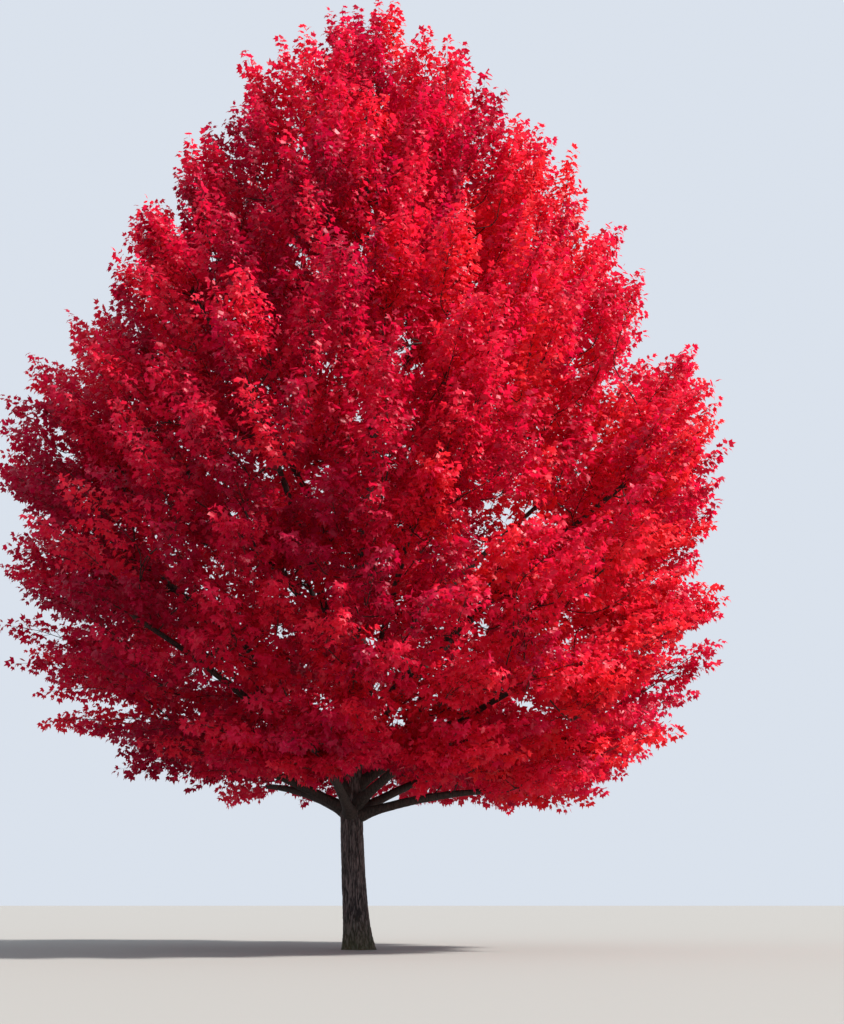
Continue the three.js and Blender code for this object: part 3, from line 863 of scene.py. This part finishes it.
def model_boughs(limbs, material):
    """Every bough with the stem that carries on from it, and the leader, as tapering limbs."""
    parts = []
    for limb in limbs:
        shares = np.linspace(0, limb["stem_to"], limb_rings)
        path = curve_point(limb["controls"], shares)
        radius = limb_radius_at(limb, shares)
        if limb["stem_from"] > 0:
            bared = shares * limb["length"] - trunk_radius_at(path[0][2])
            radius = radius * (1 + collar_swell * np.exp(-np.maximum(bared, 0) / collar_reach))
        wander = limb_swell * np.sin(limb_swells * shares + limb_shift * limb["length"])
        parts.append(tubes(path[None], (radius * (1 + wander))[None], limb_sides))
    points, faces = joined(parts)
    piece = mesh_piece("boughs_with_bark", points, faces, material, True)
    furrows = []
    for vertex in piece.data.vertices:
        furrow, flake = bark_relief(vertex.co)
        vertex.co -= vertex.normal * young_bark * (furrow_depth * furrow + flake_depth * flake)
        furrows.append(young_bark * furrow)
    keep_furrows(piece, furrows)
    return piece


def model_branches(limbs, plumes, branches, axis, material):
    """The branches that carry the plumes, each with its plume's axis."""
    chosen = branches["plumes"]
    controls = [branches["controls"][chosen, i] for i in range(4)]
    along = [curve_point(controls, np.full(len(chosen), t)) for t in np.linspace(0, 1, branch_rings)]
    beyond = [curve_point([c[chosen] for c in axis], t) for t in np.linspace(0, 1, axis_rings + 1)[1:]]
    paths = np.stack(along + beyond, axis=1)
    load = branches["load"][chosen, None]
    foot = branch_foot + branch_gain * load**branch_power
    first = mix(foot, axis_radius, np.linspace(0, 1, branch_rings))
    second = mix(axis_radius, twig_end, np.linspace(0, 1, axis_rings + 1)[1:]) + 0 * foot
    grown = tubes(paths, np.concatenate([first, second], axis=1), branch_sides)
    ends = [curve_point([c[: len(limbs)] for c in axis], t) for t in np.linspace(0, 1, axis_rings + 1)]
    taper = np.linspace(limb_end_radius * axis_on_limb, twig_end, axis_rings + 1)
    on_limbs = tubes(np.stack(ends, axis=1), np.tile(taper, (len(limbs), 1)), branch_sides)
    points, faces = joined([grown, on_limbs])
    return mesh_piece("branches", points, faces, material, True)


def model_shoots(shoots, material):
    """The leafy shoots, as thin tapering twigs."""
    controls = [shoots["controls"][:, i] for i in range(3)]
    paths = np.stack([curve_point(controls, t) for t in (0, 0.5, 1)], axis=1)
    points, faces = tubes(paths, np.tile(shoot_radii, (len(paths), 1)), shoot_sides)
    return mesh_piece("shoots", points, faces, material, True)


# Leaf tints from dark to bright: name, surface colour, colour of the light that comes through, and
# share of the shoots
leaf_tints = [
    ("wine", "#980a32", "#c40c38", 0.10),
    ("dark_rose", "#a80c3a", "#d40e42", 0.10),
    ("crimson", "#b60e38", "#dc1240", 0.15),
    ("cherry", "#c41038", "#ea1440", 0.15),
    ("rose", "#ce1844", "#f21e4c", 0.14),
    ("scarlet", "#d41a3e", "#f62044", 0.15),
    ("signal", "#da1e3c", "#fa2640", 0.14),
    ("flame", "#de2436", "#fc2e38", 0.07),
]


def model_leaves(plumes, shoots, leaves):
    """The leaves of each tint as one piece. Tints are dealt out by plume, with some play by shoot, and by
    place: darker tints low and on the left are painted shade, brighter ones high and on the right painted
    light.
    """
    number = np.arange(len(shoots["plume"]))
    place = plumes["start"][shoots["plume"]]
    # painted light and shade: tints darker on the left and low down, where the crown is in shade, and
    # brighter on the right and high up, where the key light falls
    painted_light_rank = 0.5 + painted_light_across * np.tanh(place[:, 0] - tint_middle)
    painted_light_rank = painted_light_rank + painted_light_upwards * (rise_of(place[:, 2]) - tint_middle_rise)
    deal = (1 - tint_play) * chance(shoots["plume"], 41) + tint_play * chance(number, 42)
    deal = mix(deal, painted_light_rank, painted_light_weight)
    rank = deal.argsort().argsort() / len(deal)
    upto = np.cumsum([share for name, surface, glow, share in leaf_tints])
    tint = np.searchsorted(upto[:-1], rank, side="right")
    pieces = []
    for order, (name, surface, glow, share) in enumerate(leaf_tints):
        chosen = np.flatnonzero(tint[leaves["shoot"]] == order)
        points, faces = leaf_mesh(leaves, chosen)
        material = maple_leaf("maple_leaf_" + name, surface, glow)
        pieces.append(mesh_piece("leaves_" + name, points, faces, material, False))
    return pieces


def place_camera():
    """At the photo's angle, from low down and tilted up at the tree."""
    bpy.ops.object.camera_add(location=camera_place, rotation=(math.pi / 2 + camera_tilt, 0, 0))
    camera = bpy.context.object
    camera.data.lens = camera_lens
    bpy.context.scene.camera = camera


def light_studio():
    """A soft key light from high on the right, and an even pale light from all round."""
    bpy.ops.object.light_add(type="SUN", rotation=key_turn)
    key = bpy.context.object
    key.data.energy = key_strength
    key.data.angle = key_softness
    key.data.color = key_colour
    world = bpy.data.worlds.new("studio")
    world.use_nodes = True
    background = world.node_tree.nodes["Background"]
    background.inputs["Color"].default_value = linear(sky_colour)
    background.inputs["Strength"].default_value = sky_strength
    bpy.context.scene.world = world
    bpy.context.scene.view_settings.view_transform = "Standard"


def lay_floor():
    """A plain matt floor, pale and wide."""
    bpy.ops.mesh.primitive_plane_add(size=floor_size)
    floor = bpy.context.object
    floor.name = "floor"
    material, tree = new_material("studio_floor")
    surface = add_node(tree, "ShaderNodeBsdfPrincipled", Base_Color=linear(floor_colour), Roughness=0.95)
    add_node(tree, "ShaderNodeOutputMaterial", [("Surface", surface.outputs[0])])
    floor.data.materials.append(material)


place_camera()
light_studio()
lay_floor()

limbs = make_limbs()
plumes = make_plumes(limbs)
branches = grow_branches(limbs, plumes)
axis, shoots = make_shoots(plumes, branches)
leaves = make_leaves(plumes, shoots)

trunk_bark = bark("old_maple_bark", plate="#6b5f5d", furrow="#1c1414", grain=0.012, moss="#4c4f2e")
limb_bark = bark("young_maple_bark", plate="#40342f", furrow="#1a1211", grain=0.02)
twig_bark = bark("maple_twig", plate="#3c2a28", furrow="#1a1010", grain=0.02)

masses = sorted(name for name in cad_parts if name.startswith("foliage"))
boughs = sorted(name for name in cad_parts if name.startswith("bough"))
trunk_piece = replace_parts(model_trunk(trunk_bark), "trunk")
bough_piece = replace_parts(model_boughs(limbs, limb_bark), *boughs)
branch_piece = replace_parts(model_branches(limbs, plumes, branches, axis, twig_bark), *masses)
shoot_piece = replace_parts(model_shoots(shoots, twig_bark), *masses)
leaf_pieces = [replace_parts(piece, *masses) for piece in model_leaves(plumes, shoots, leaves)]

for piece in [trunk_piece, bough_piece, branch_piece, shoot_piece] + leaf_pieces:
    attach(piece, "root")
